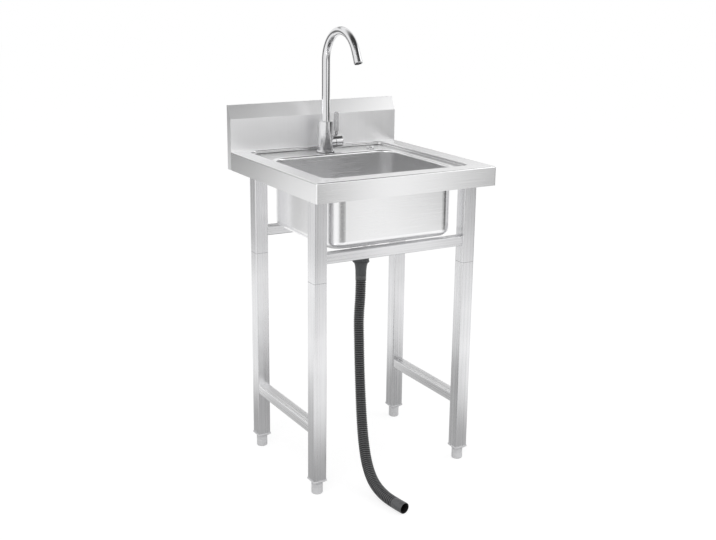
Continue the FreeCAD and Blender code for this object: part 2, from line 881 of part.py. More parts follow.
def tangentArcs(points):
    """Straight runs joined by arcs: the path's edges and the arcs' radii."""
    spots = [Vector(*point) for point in points]
    edges = []
    radii = []
    last = spots[0]
    for before, here, after in zip(spots, spots[1:], spots[2:]):
        arriving = (here - before).normalize()
        leaving = (after - here).normalize()
        turn = arriving.getAngle(leaving)
        setback = 0.45 * min((here - before).Length, (after - here).Length)
        radius = setback / math.tan(turn / 2)
        start = here - arriving * setback
        end = here + leaving * setback
        inward = (leaving - arriving).normalize()
        middle = here + inward * (radius / math.cos(turn / 2) - radius)
        edges.append(Part.LineSegment(last, start).toShape())
        edges.append(Part.Arc(start, middle, end).toShape())
        radii.append(radius)
        last = end
    edges.append(Part.LineSegment(last, spots[-1]).toShape())
    return edges, radii


def spotAlong(edges, distance):
    """Point and direction at a distance along the path."""
    for edge in edges:
        if distance <= edge.Length or edge is edges[-1]:
            reach = edge.getParameterByLength(min(distance, edge.Length))
            return edge.valueAt(reach), edge.tangentAt(reach)
        distance -= edge.Length
    raise RuntimeError("no edge at that distance")


def circleAlong(edges, distance, radius):
    """Circle square to the path; its start keeps to the X side, so that the loft can't twist."""
    point, direction = spotAlong(edges, distance)
    side = (Vector(1, 0, 0) - direction * direction.x).normalize()
    axes = Part.Circle(point, direction, radius)
    axes.XAxis = side
    return Part.Wire([axes.toShape()])


def makeHose():
    """Corrugated hose with its bore: a ruled skin outside, a plain one inside."""
    crest = float(size.hoseCrest)
    valley = float(size.hoseRoot)
    bore = float(size.hoseBore)
    edges, radii = tangentArcs(hoseRoute)
    length = sum(edge.Length for edge in edges)
    ribbed = length - smoothTop - smoothEnd
    count = round(ribbed / ribPitch)
    pitch = ribbed / count
    stations = [(0, crest), (smoothTop, crest)]
    for rib in range(count):
        start = smoothTop + rib * pitch
        heights = (valley, crest, crest, valley)
        for share, radius in zip(ribShares, heights):
            stations.append((start + (share + 0.1) * pitch, radius))
    stations.append((length - smoothEnd, crest))
    stations.append((length, crest))
    outer = Part.makeLoft([circleAlong(edges, place, radius) for place, radius in stations], False, True)
    boreStops = [length * step / boreSteps for step in range(boreSteps + 1)]
    inner = Part.makeLoft([circleAlong(edges, place, bore) for place in boreStops], False, True)
    ends = []
    for place in (0, length):
        rims = [circleAlong(edges, place, crest), circleAlong(edges, place, bore)]
        ends.append(Part.Face(rims, "Part::FaceMakerBullseye"))
    skin = Part.makeCompound(outer.Faces + inner.Faces + ends)
    skin.sewShape(0.001)
    solid = Part.makeSolid(skin if skin.ShapeType == "Shell" else skin.Shells[0])
    if solid.Volume < 0:
        solid.reverse()
    feature = document.addObject("Part::Feature", "drain_hose")
    feature.Label = "drain_hose"
    feature.Shape = solid
    feature.Placement = Placement()
    subParts.append(feature)
    gap = pitch * (1 - ribShares[3])
    print("hose length", round(length, 1), "ribs", count, "pitch", round(pitch, 2))
    print("hose bend radii", [round(radius) for radius in radii])
    print("least gap between crests", round(gap + pitch * ribShares[1], 2))
    return feature


# tap

baseRingRadius = size.tapBodyRadius + size.baseRingProud
barrelRadius = size.cartridgeRadius + size.barrelWall
capRadius = barrelRadius + size.capProud
bushRadius = size.spoutRadius + size.bushWall
ringUnder = ledgeTop + size.tapGasket
bodyUnder = ringUnder + size.baseRingHeight
bodyTop = bodyUnder + size.tapBodyHeight
barrelZ = ledgeTop + size.barrelHeight
socketFloor = bodyTop - size.socketDepth
shankTop = bodyUnder + size.shankEngage
mouth = size.barrelReach + size.rideGap
capEnd = mouth + size.capLength
capSkirt = capRadius - 2.5
stemEnd = capEnd - size.capEndWall
spoutBendZ = ledgeTop + size.spoutRise
outletY = -size.spoutBend * (1 - cosine(size.spoutSweep)) - sine(size.spoutSweep) * size.spoutTail
outletZ = spoutBendZ + sine(size.spoutSweep) * size.spoutBend + cosine(size.spoutSweep) * size.spoutTail


def makeTapBase():
    """Everything that clamps the tap to the ledge, above and below it."""
    place = (0, tapY, 0)
    loose = size.shankRadius + size.rideGap
    ring("tap_gasket", place, size.tapHoleRadius, baseRingRadius - 1, ledgeTop, ringUnder)
    turnedBody("tap_base_ring", place, [
        (loose, ringUnder),
        (baseRingRadius, ringUnder),
        (baseRingRadius, bodyUnder - 1.5),
        (baseRingRadius - 1.5, bodyUnder),
        (loose, bodyUnder),
    ])
    shankEnd = bodyUnder - size.shankLength
    threadTop = shankEnd + size.supplyThread
    reliefTop = threadTop + size.threadRelief
    turnedBody("tap_shank", place, [
        (size.shankBore, shankEnd),
        (size.shankRadius - 1, shankEnd),
        (size.shankRadius, shankEnd + 1),
        (size.shankRadius, threadTop),
        (size.shankRadius - 0.8, threadTop + 0.5),
        (size.shankRadius - 0.8, reliefTop - 0.5),
        (size.shankRadius, reliefTop),
        (size.shankRadius, shankTop),
        (size.shankBore, shankTop),
    ])
    clampTop = ledgeUnder - size.tapWasher
    nutTop = clampTop - size.tapWasher
    ring("tap_rubber_washer", place, loose, baseRingRadius - 2, clampTop, ledgeUnder)
    ring("tap_clamp_washer", place, loose, baseRingRadius - 3, nutTop, clampTop)
    flats = (size.shankRadius + size.tapNutWall) * 2
    hexNut("tap_locknut", place, flats, size.shankRadius, nutTop - size.tapNutHeight, size.tapNutHeight)


def hexNut(label, place, flats, bore, low, height):
    """Six-sided nut with its upper and lower corners turned off."""
    half = flats / 2
    point = half / math.cos(math.radians(30))
    lean = half * math.tan(math.radians(30))
    body = newBody(label, place)
    blank = sketchOn(body, "XY", low)
    outline(blank, [(point, 0), (lean, half), (-lean, half), (-point, 0), (-lean, -half), (lean, -half)])
    disc(blank, bore)
    pad(blank, height)
    slant = (point - half) / 2 + 0.5
    for edge, lift in ((low, slant), (low + height, -slant)):
        corner = sketchOn(body, "XZ")
        outline(corner, [(half, edge), (point + 1, edge), (point + 1, edge + lift)])
        turned(corner, "PartDesign::Groove")
    return body


def makeTapBody():
    """Upright body with the spout's socket, and the valve's barrel square to it."""
    body = newBody("tap_body", (0, tapY, 0))
    profile = sketchOn(body, "XZ")
    outline(profile, [
        (size.shankRadius, bodyUnder),
        (size.tapBodyRadius, bodyUnder),
        (size.tapBodyRadius, bodyTop - 0.8),
        (size.tapBodyRadius - 0.8, bodyTop),
        (bushRadius, bodyTop),
        (bushRadius, socketFloor),
        (size.shankBore, socketFloor),
        (size.shankBore, shankTop),
        (size.shankRadius, shankTop),
    ])
    turned(profile)
    inside = size.tapBodyRadius / 2
    barrel = sketchOn(body, "YZ", inside)
    disc(barrel, barrelRadius, (0, barrelZ))
    pad(barrel, size.barrelReach - inside)
    seat = sketchOn(body, "YZ", 0)
    disc(seat, size.cartridgeRadius, (0, barrelZ))
    pocket(seat, size.barrelReach)
    rounded(body, 0.6, lambda edge: near(edge.BoundBox.XMin, size.barrelReach)
            and edge.BoundBox.YLength > float(barrelRadius) * 1.9)
    return body


def lyingBody(label):
    """A body in the barrel's own frame: its X axis is the one the lever turns on."""
    return newBody(label, (0, tapY, barrelZ))


def makeValve():
    """Quarter-turn valve: cartridge, its stem, and the ring nut that holds it in the barrel."""
    nutSeat = size.barrelReach - size.bonnetLength
    stemBore = size.stemRadius + size.runFit
    cartridge = lyingBody("tap_cartridge")
    shell = sketchOn(cartridge, "YZ", 0)
    disc(shell, size.cartridgeRadius)
    pad(shell, nutSeat)
    bore = sketchOn(cartridge, "YZ", size.stemFoot)
    disc(bore, stemBore)
    pocket(bore, nutSeat)
    inlet = sketchOn(cartridge, "XY", -size.cartridgeRadius)
    disc(inlet, size.inletRadius)
    pocket(inlet, size.cartridgeRadius * 2)

    nut = lyingBody("bonnet_nut")
    blank = sketchOn(nut, "YZ", nutSeat)
    disc(blank, size.cartridgeRadius)
    disc(blank, stemBore)
    pad(blank, size.bonnetLength)

    stem = lyingBody("cartridge_stem")
    rod = sketchOn(stem, "YZ", size.stemFoot + size.rideGap)
    disc(rod, size.stemRadius)
    pad(rod, stemEnd - size.stemFoot - size.rideGap)


def makeLever():
    """Cap that turns on the barrel's axis, the flat blade pinned into it, and its screw."""
    bladeX = mouth + size.bladeWidth / 2 + 1.5
    pinFoot = capSkirt - 2
    cap = lyingBody("lever_cap")
    blank = sketchOn(cap, "YZ", mouth)
    disc(blank, capRadius)
    pad(blank, size.capLength)
    hollow = sketchOn(cap, "YZ", mouth)
    disc(hollow, capSkirt)
    disc(hollow, size.stemRadius + 3)
    pocket(hollow, size.capLength - size.capEndWall)
    socket = sketchOn(cap, "YZ", mouth)
    disc(socket, size.stemRadius)
    pocket(socket, size.capLength - size.capEndWall)
    screwHole = sketchOn(cap, "YZ", mouth)
    disc(screwHole, size.capScrewRadius)
    pocket(screwHole, size.capLength)
    pinHole = sketchOn(cap, "XY", pinFoot)
    disc(pinHole, size.bladePinRadius, (bladeX, 0))
    pocket(pinHole, capRadius)
    rounded(cap, 2.5, lambda edge: near(edge.BoundBox.XMin, capEnd)
            and edge.BoundBox.YLength > float(capSkirt) * 2)

    blade = lyingBody("lever_blade")
    half = size.bladeWidth / 2
    face = sketchOn(blade, "XZ", 0)
    roundedRectangle(face, (bladeX - half, size.bladeFoot), (bladeX + half, size.bladeTop), half - 2)
    pad(face, size.bladeThick, both=True)
    rounded(blade, 0.9, lambda edge: near(edge.BoundBox.YLength, 0))
    pin = sketchOn(blade, "XY", pinFoot)
    disc(pin, size.bladePinRadius, (bladeX, 0))
    pad(pin, size.bladeFoot - pinFoot + 4)
    collar = sketchOn(blade, "XY", capRadius + 0.2)
    disc(collar, size.bladePinRadius + 1.4, (bladeX, 0))
    pad(collar, size.bladeFoot - capRadius + 1)

    screw = lyingBody("lever_screw")
    rod = sketchOn(screw, "YZ", stemEnd)
    disc(rod, size.capScrewRadius)
    pad(rod, size.capEndWall)
    head = sketchOn(screw, "YZ", capEnd)
    disc(head, size.capScrewRadius + 2)
    pad(head, 1.2)


def makeSpout():
    """Swan-neck tube swept along its riser, arch and short tail, turning in its bush."""
    spoutFoot = socketFloor + size.rideGap
    sweep = math.radians(float(size.spoutSweep))
    bend = float(size.spoutBend)
    top = float(spoutBendZ)
    outlet = Vector(float(outletY), float(outletZ), 0)
    archEnd = Vector(bend * math.cos(sweep) - bend, top + bend * math.sin(sweep), 0)

    body = newBody("spout_tube", (0, tapY, 0))
    path = sketchOn(body, "YZ")
    riser = path.addGeometry(Part.LineSegment(Vector(0, float(spoutFoot), 0), Vector(0, top, 0)), False)
    crown = Vector(-bend, top + bend, 0)
    arch = path.addGeometry(Part.Arc(Vector(0, top, 0), crown, archEnd), False)
    tail = path.addGeometry(Part.LineSegment(archEnd, outlet), False)
    path.addConstraint(Sketcher.Constraint("Coincident", riser, 2, arch, 1))
    path.addConstraint(Sketcher.Constraint("Tangent", arch, 2, tail, 1))
    holdPoint(path, riser, 1, (0, spoutFoot))
    holdPoint(path, riser, 2, (0, spoutBendZ))
    holdPoint(path, arch, 3, (-size.spoutBend, spoutBendZ))
    holdPoint(path, tail, 2, (outletY, outletZ))
    section = sketchOn(body, "XY", spoutFoot)
    disc(section, size.spoutRadius)
    disc(section, size.spoutRadius - size.spoutWall)
    pipe = body.newObject("PartDesign::AdditivePipe", "spout_sweep")
    pipe.Profile = section
    pipe.Spine = (path, ["Edge1", "Edge2", "Edge3"])

    turnedBody("spout_bush", (0, tapY, 0), [
        (size.spoutRadius + size.runFit, socketFloor),
        (bushRadius, socketFloor),
        (bushRadius, bodyTop),
        (size.spoutRadius + size.runFit, bodyTop),
    ])


def makeAerator():
    """Outlet ring and its perforated insert, square to the spout's end."""
    place = (0, tapY + outletY, outletZ)
    housing = turnedBody("aerator_housing", place, [
        (size.spoutRadius - size.spoutWall, 0),
        (size.spoutRadius + 0.5, 0),
        (size.spoutRadius + 0.5, size.aeratorLength - 0.8),
        (size.spoutRadius - 0.3, size.aeratorLength),
        (size.spoutRadius - size.spoutWall, size.aeratorLength),
    ])
    insert = newBody("aerator_insert", place)
    blank = sketchOn(insert, "XY", size.aeratorLength - 4)
    disc(blank, size.spoutRadius - size.spoutWall)
    pad(blank, 3)
    hole = sketchOn(insert, "XY", size.aeratorLength - 4)
    disc(hole, size.aeratorHoleRadius, (size.spoutRadius / 2, 0))
    around(insert, pocket(hole, 3), 8)
    for body in (housing, insert):
        body.Placement.Rotation = Rotation(Vector(1, 0, 0), float(size.spoutSweep))
        bind(body, "Placement.Rotation.Angle", size.spoutSweep)


def makeCover():
    """Small round cover over the spare hole in the tap ledge, with its nut below."""
    place = (size.coverOffset, tapY, 0)
    stud = size.coverStud
    nutUnder = ledgeUnder - size.coverNut
    top = ledgeTop + size.coverHeight
    turnedBody("hole_cover", place, [
        (0, nutUnder - 3),
        (stud, nutUnder - 3),
        (stud, ledgeTop),
        (size.coverRadius, ledgeTop),
        (size.coverRadius, top - 2.2),
        (size.coverRadius - 0.9, top - 0.7),
        (size.coverRadius - 2.4, top),
        (size.coverRadius - 3.4, top),
        (size.coverRadius - 4.2, top - 0.8),
        (0, top - 0.8),
    ])
    ring("hole_cover_nut", place, stud, stud + 5, nutUnder, ledgeUnder)


# the unit

def makeUnit():
    makeDeck()
    makeSplashback()
    makeSplashEnd("splash_end_left", -halfWidth)
    makeSplashEnd("splash_end_right", halfWidth - gauge)
    makeBowl()
    makeChannel("deck_channel_left", -legX)
    makeChannel("deck_channel_right", legX)
    makeLegs()
    makeRails()
    for name, (x, y) in corners.items():
        makeJoiner(f"leg_joiner_{name}", x, y)
        makeEndPlug(f"leg_end_plug_{name}", x, y)
        makeFoot(f"foot_{name}", x, y)
    makeWaste()
    makeStrainer()
    makeHoseNut()
    makeHoseCuff()
    makeHose()
    makeTapBase()
    makeTapBody()
    makeValve()
    makeLever()
    makeSpout()
    makeAerator()
    makeCover()


def checkUnit():
    """Stop before anything is written if a feature failed or a solid is bad."""
    failed = [thing.Label for thing in document.Objects
              if "Invalid" in thing.State or "Error" in thing.State]
    for part in subParts:
        if part.Shape.isNull() or not part.Shape.isValid() or not part.Shape.Solids:
            failed.append(part.Label)
    if failed:
        raise RuntimeError("failed: " + ", ".join(failed))


makeUnit()
document.recompute()
checkUnit()
os.makedirs("parts", exist_ok=True)
for part in subParts:
    part.Shape.exportStep(f"parts/{part.Label}.step")
print(len(subParts), "sub-parts written")
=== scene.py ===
import math
import bmesh
import bpy
from mathutils import Matrix, Vector


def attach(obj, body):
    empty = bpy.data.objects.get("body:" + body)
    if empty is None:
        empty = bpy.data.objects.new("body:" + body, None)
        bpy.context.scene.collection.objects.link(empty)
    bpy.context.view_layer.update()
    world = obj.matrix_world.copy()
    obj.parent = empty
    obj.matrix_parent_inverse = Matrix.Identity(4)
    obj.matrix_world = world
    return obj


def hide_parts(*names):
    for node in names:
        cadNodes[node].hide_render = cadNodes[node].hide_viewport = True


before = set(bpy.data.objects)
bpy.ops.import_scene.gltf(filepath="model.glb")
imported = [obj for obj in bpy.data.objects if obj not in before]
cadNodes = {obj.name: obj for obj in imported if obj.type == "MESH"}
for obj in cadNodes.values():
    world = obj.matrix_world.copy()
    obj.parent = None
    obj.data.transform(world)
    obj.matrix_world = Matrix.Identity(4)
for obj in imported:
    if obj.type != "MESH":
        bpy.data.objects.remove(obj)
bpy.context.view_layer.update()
print("frame loaded,", len(cadNodes), "nodes")


# camera: turned round a point above the middle of the floor, then slid sideways and up

cameraPlace = {
    "azimuth": -30.118,
    "elevation": 15.601,
    "roll": 0.661,
    "distance": 2.857687,
    "aimHeight": 0.45,
    "slideRight": 0.003839,
    "slideUp": 0.053251,
    "focalPixels": 1087.033,
    "imageWidth": 716,
    "sensorWidth": 36,
    "clipStart": 0.05,
    "clipEnd": 50,
}


def placeCamera(place):
    azimuth = math.radians(place["azimuth"])
    elevation = math.radians(place["elevation"])
    roll = math.radians(place["roll"])
    level = math.cos(elevation)
    back = Vector((math.sin(azimuth) * level, -math.cos(azimuth) * level, math.sin(elevation)))
    right = Vector((0, 0, 1)).cross(back).normalized()
    up = back.cross(right)
    spot = Vector((0, 0, place["aimHeight"])) + back * place["distance"]
    spot += right * place["slideRight"] + up * place["slideUp"]
    rolledRight = right * math.cos(roll) + up * math.sin(roll)
    rolledUp = up * math.cos(roll) - right * math.sin(roll)
    turn = Matrix((rolledRight, rolledUp, back)).transposed()
    camera = bpy.data.objects.new("photoCamera", bpy.data.cameras.new("photoCamera"))
    camera.data.sensor_width = place["sensorWidth"]
    camera.data.lens = place["focalPixels"] * place["sensorWidth"] / place["imageWidth"]
    camera.data.clip_start = place["clipStart"]
    camera.data.clip_end = place["clipEnd"]
    camera.matrix_world = Matrix.Translation(spot) @ turn.to_4x4()
    bpy.context.scene.collection.objects.link(camera)
    bpy.context.scene.camera = camera


placeCamera(cameraPlace)
print("camera placed")


# node helpers; noise, ranges, blends and sums are passed on as sockets

evenStretch = (1, 1, 1)
fineDetail = 3.0
broadDetail = 2.0


def newFinish(name, metallic=0.0):
    finish = bpy.data.materials.new(name)
    finish.use_nodes = True
    shader = finish.node_tree.nodes["Principled BSDF"]
    shader.inputs["Metallic"].default_value = metallic
    return finish, finish.node_tree, shader


def addNode(tree, kind, **settings):
    # a setting is either the node's own or the value of its socket
    node = tree.nodes.new(kind)
    for name, value in settings.items():
        if hasattr(node, name):
            setattr(node, name, value)
        else:
            node.inputs[name].default_value = value
    return node


def computed(tree, operation, *terms):
    # a term is either a number or a socket
    node = addNode(tree, "ShaderNodeMath", operation=operation)
    for socket, term in zip(node.inputs, terms):
        if isinstance(term, bpy.types.NodeSocket):
            tree.links.new(term, socket)
        else:
            socket.default_value = term
    return node.outputs["Value"]


def mixedShader(tree, share, first, second):
    node = addNode(tree, "ShaderNodeMixShader")
    tree.links.new(share, node.inputs["Fac"])
    tree.links.new(first, node.inputs[1])
    tree.links.new(second, node.inputs[2])
    return node.outputs["Shader"]


def stretchedNoise(tree, stretch, scale, detail):
    coordinates = addNode(tree, "ShaderNodeTexCoord")
    mapping = addNode(tree, "ShaderNodeMapping", Scale=stretch)
    noise = addNode(tree, "ShaderNodeTexNoise", Scale=scale, Detail=detail)
    tree.links.new(coordinates.outputs["Object"], mapping.inputs["Vector"])
    tree.links.new(mapping.outputs["Vector"], noise.inputs["Vector"])
    return noise.outputs["Fac"]


def splitPlace(tree):
    parts = addNode(tree, "ShaderNodeSeparateXYZ")
    tree.links.new(addNode(tree, "ShaderNodeTexCoord").outputs["Object"], parts.inputs["Vector"])
    return parts.outputs


def ranged(tree, source, low, high, fromLow=0.3, fromHigh=0.7):
    span = addNode(tree, "ShaderNodeMapRange")
    span.inputs["From Min"].default_value = fromLow
    span.inputs["From Max"].default_value = fromHigh
    span.inputs["To Min"].default_value = low
    span.inputs["To Max"].default_value = high
    tree.links.new(source, span.inputs["Value"])
    return span.outputs["Result"]


def blended(tree, source, low, high, fromLow=0.3, fromHigh=0.7):
    ramp = addNode(tree, "ShaderNodeValToRGB")
    ramp.color_ramp.elements[0].position = fromLow
    ramp.color_ramp.elements[0].color = (*low, 1)
    ramp.color_ramp.elements[1].position = fromHigh
    ramp.color_ramp.elements[1].color = (*high, 1)
    tree.links.new(source, ramp.inputs["Fac"])
    return ramp.outputs["Color"]


def setToneAndRough(tree, shader, tone, rough):
    tree.links.new(tone, shader.inputs["Base Color"])
    tree.links.new(rough, shader.inputs["Roughness"])


def addBump(tree, shader, source, strength, distance):
    bump = addNode(tree, "ShaderNodeBump", Strength=strength, Distance=distance)
    tree.links.new(source, bump.inputs["Height"])
    tree.links.new(bump.outputs["Normal"], shader.inputs["Normal"])


# stainless steel: fine grain drawn out along one direction, with faint broad clouds

sheetLook = {
    "paleTone": (0.95, 0.95, 0.955),
    "darkTone": (0.88, 0.88, 0.885),
    "darkUpTo": 0.32,
    "paleFrom": 0.60,
    "roughLow": 0.22,
    "roughHigh": 0.28,
    "grainScale": 700,
    "grainShrink": 0.012,
    "grainShare": 0.6,
    "cloudScale": 4,
    "cloudShare": 0.4,
    "grainStrength": 0.03,
    "grainDepth": 0.00002,
}
splashLook = dict(
    sheetLook,
    paleTone=(0.96, 0.96, 0.965),
    darkTone=(0.93, 0.93, 0.935),
    roughLow=0.39,
    roughHigh=0.45,
    grainStrength=0.01,
)
# the deck steel has painted shade darkening its pressed recess
deckLook = dict(
    sheetLook,
    recessShadeTop=(0.7970, 0.7992),  # the heights between which the painted shade of the recess ends
    recessShadeShare=0.72,
    recessReach=0.24,
)
tubeLook = dict(
    sheetLook,
    paleTone=(0.85, 0.85, 0.86),
    darkTone=(0.66, 0.66, 0.67),
    roughLow=0.24,
    roughHigh=0.34,
    grainScale=260,
    grainShrink=0.006,
    cloudScale=7,
    grainStrength=0.08,
    grainDepth=0.00004,
)
# painted light: the side rails get a lighter copy of the same tube steel
paintedLightRailLook = dict(
    tubeLook,
    paleTone=(0.96, 0.96, 0.965),
    darkTone=(0.82, 0.82, 0.83),
)


def paintRecessShade(tree, tone, look):
    # painted shade: the tone is darkened below the rim, but not out on the aprons
    place = splitPlace(tree)
    level = ranged(tree, place["Z"], look["recessShadeShare"], 1.0, *look["recessShadeTop"])
    away = computed(tree, "MAXIMUM", *(computed(tree, "ABSOLUTE", place[axis]) for axis in "XY"))
    outside = computed(tree, "GREATER_THAN", away, look["recessReach"])
    shadedTone = addNode(tree, "ShaderNodeVectorMath", operation="SCALE")
    tree.links.new(tone, shadedTone.inputs["Vector"])
    tree.links.new(computed(tree, "MAXIMUM", level, outside), shadedTone.inputs["Scale"])
    return shadedTone.outputs["Vector"]


def brushedSteel(name, along, look):
    finish, tree, shader = newFinish(name, metallic=1.0)
    stretch = [look["grainShrink"] if axis == along else 1.0 for axis in "xyz"]
    grain = stretchedNoise(tree, stretch, look["grainScale"], fineDetail)
    clouds = stretchedNoise(tree, evenStretch, look["cloudScale"], broadDetail)
    cloudPart = computed(tree, "MULTIPLY", clouds, look["cloudShare"])
    mixed = computed(tree, "MULTIPLY_ADD", grain, look["grainShare"], cloudPart)
    tone = blended(tree, mixed, look["darkTone"], look["paleTone"],
                   look["darkUpTo"], look["paleFrom"])
    # painted shade darkens the recess where the look asks for it
    if "recessShadeTop" in look:
        tone = paintRecessShade(tree, tone, look)
    setToneAndRough(tree, shader, tone, ranged(tree, grain, look["roughLow"], look["roughHigh"]))
    addBump(tree, shader, grain, look["grainStrength"], look["grainDepth"])
    return finish


sheetSteel = brushedSteel("sheet steel brushed side to side", "x", sheetLook)
splashSteel = brushedSteel("splashback steel brushed up and down", "z", splashLook)
# deck steel with painted shade in its recess
deckSteel = brushedSteel("deck steel with painted shade in its pressed recess", "x", deckLook)
channelSteel = brushedSteel("channel steel brushed front to back", "y", sheetLook)
crossTubeSteel = brushedSteel("tube steel brushed side to side", "x", tubeLook)
# the side rails carry painted light, a lighter copy of the tube steel
sideTubeSteel = brushedSteel("tube steel brushed front to back, painted lighter", "y", paintedLightRailLook)
legSteel = brushedSteel("leg steel brushed up and down", "z", tubeLook)


# satin chrome of the tap with faint wipe marks, its duller lever, and turned brass

chromeLook = {
    "paleTone": (0.80, 0.80, 0.81),
    "darkTone": (0.74, 0.74, 0.75),
    "roughLow": 0.11,
    "roughHigh": 0.17,
    "markScale": 18,
    "markStretch": (1, 1, 0.4),
}
leverLook = dict(
    chromeLook,
    paleTone=(0.62, 0.62, 0.63),
    darkTone=(0.55, 0.55, 0.56),
    roughLow=0.22,
    roughHigh=0.30,
)
brassLook = {
    "paleTone": (0.74, 0.60, 0.34),
    "darkTone": (0.62, 0.47, 0.24),
    "roughLow": 0.24,
    "roughHigh": 0.38,
    "markScale": 40,
    "markStretch": (1, 1, 14),
}


def satinMetal(name, look):
    finish, tree, shader = newFinish(name, metallic=1.0)
    marks = stretchedNoise(tree, look["markStretch"], look["markScale"], fineDetail)
    tone = blended(tree, marks, look["darkTone"], look["paleTone"])
    setToneAndRough(tree, shader, tone, ranged(tree, marks, look["roughLow"], look["roughHigh"]))
    return finish


chrome = satinMetal("satin chrome", chromeLook)
leverSteel = satinMetal("brushed lever steel", leverLook)
brass = satinMetal("turned brass", brassLook)


# moulded plastics and rubber: broad patches of tone over fine pits

footLook = {
    "paleTone": (0.66, 0.66, 0.67),
    "darkTone": (0.60, 0.60, 0.61),
    "roughLow": 0.38,
    "roughHigh": 0.52,
    "patchScale": 35,
    "pitScale": 900,
    "pitStrength": 0.12,
    "pitDepth": 0.00005,
}
seamLook = dict(
    footLook,
    paleTone=(0.36, 0.36, 0.365),
    darkTone=(0.30, 0.30, 0.305),
    roughLow=0.4,
    roughHigh=0.5,
)
softHoseLook = dict(
    footLook,
    paleTone=(0.075, 0.078, 0.082),
    darkTone=(0.045, 0.047, 0.05),
    roughLow=0.36,
    roughHigh=0.5,
    pitScale=700,
)
blackLook = dict(
    footLook,
    paleTone=(0.045, 0.045, 0.05),
    darkTone=(0.028, 0.028, 0.032),
    roughLow=0.4,
    roughHigh=0.55,
)
rubberLook = dict(
    footLook,
    paleTone=(0.04, 0.04, 0.04),
    darkTone=(0.022, 0.022, 0.022),
    roughLow=0.7,
    roughHigh=0.85,
    pitScale=1200,
)


def mouldedPlastic(name, look):
    finish, tree, shader = newFinish(name)
    patches = stretchedNoise(tree, evenStretch, look["patchScale"], broadDetail)
    pits = stretchedNoise(tree, evenStretch, look["pitScale"], broadDetail)
    tone = blended(tree, patches, look["darkTone"], look["paleTone"])
    setToneAndRough(tree, shader, tone, ranged(tree, pits, look["roughLow"], look["roughHigh"]))
    addBump(tree, shader, pits, look["pitStrength"], look["pitDepth"])
    return finish


footGrey = mouldedPlastic("moulded grey plastic", footLook)
seamGrey = mouldedPlastic("grey joiner plastic", seamLook)
hoseGrey = mouldedPlastic("soft dark hose plastic", softHoseLook)
blackPlastic = mouldedPlastic("moulded black plastic", blackLook)
sealRubber = mouldedPlastic("seal rubber", rubberLook)


# plastic of the ribbed hose: painted highlight on the crests, painted shade in the grooves, black
# painted shade and matt in the bore

ribbedLook = {
    "boreShadeTone": (0.0008, 0.0008, 0.0008),
    "grooveShadeTone": (0.006, 0.006, 0.007),
    "crestHighlightTone": (0.150, 0.152, 0.156),
    "boreAt": 0.02,
    "grooveAt": 0.45,
    "crestAt": 0.95,
    "roughLow": 0.20,
    "roughHigh": 0.34,
    "patchScale": 30,
    "boreRoughness": 0.6,
    "boreFade": 0.15,
}


def ribbedPlastic(look):
    finish, tree, shader = newFinish("ribbed hose plastic with painted highlights and shade")
    heights = addNode(tree, "ShaderNodeAttribute", attribute_name="ribHeight").outputs["Fac"]
    tone = blended(tree, heights, look["grooveShadeTone"], look["crestHighlightTone"],
                   look["grooveAt"], look["crestAt"])
    # black painted shade in the bore
    bore = tone.node.color_ramp.elements.new(look["boreAt"])
    bore.color = (*look["boreShadeTone"], 1)
    patches = stretchedNoise(tree, evenStretch, look["patchScale"], broadDetail)
    rough = ranged(tree, patches, look["roughLow"], look["roughHigh"])
    matt = ranged(tree, heights, look["boreRoughness"], 0.0, 0.0, look["boreFade"])
    setToneAndRough(tree, shader, tone, computed(tree, "ADD", rough, matt))
    return finish


ribbedHose = ribbedPlastic(ribbedLook)
print("finishes made")


# which CAD node gets which finish: the longest start of its name decides

nodeFinishes = {
    "deck_top": deckSteel,
    "splash": splashSteel,
    "bowl": sheetSteel,
    "deck_channel": channelSteel,
    "front_rail": crossTubeSteel,
    "rear_rail": crossTubeSteel,
    "side_rail": sideTubeSteel,
    "leg_upper": legSteel,
    "leg_lower": legSteel,
    "leg_joiner": seamGrey,
    "leg_end_plug": footGrey,
    "foot": footGrey,
    "drain_body": sheetSteel,
    "drain_gasket": sealRubber,
    "drain_washer": sealRubber,
    "drain_locknut": blackPlastic,
    "drain_hose": hoseGrey,
    "strainer_basket": sheetSteel,
    "strainer_post": chrome,
    "strainer_seal": sealRubber,
    "hose": hoseGrey,
    "tap_gasket": sealRubber,
    "tap_rubber_washer": sealRubber,
    "tap_clamp_washer": sheetSteel,
    "tap_shank": brass,
    "tap_locknut": brass,
    "tap_cartridge": brass,
    "tap": chrome,
    "bonnet_nut": brass,
    "cartridge_stem": brass,
    "lever": chrome,
    "lever_blade": leverSteel,
    "spout": chrome,
    "aerator_housing": chrome,
    "aerator_insert": blackPlastic,
    "hole_cover": chrome,
    "hole_cover_nut": blackPlastic,
}


def finishNodes(finishes):
    starts = sorted(finishes, key=len, reverse=True)
    for name, node in cadNodes.items():
        start = next(start for start in starts if name.startswith(start))
        node.data.materials.clear()
        node.data.materials.append(finishes[start])


finishNodes(nodeFinishes)
print("CAD nodes finished")


# waste hose: a ribbed tube that follows its own smooth line

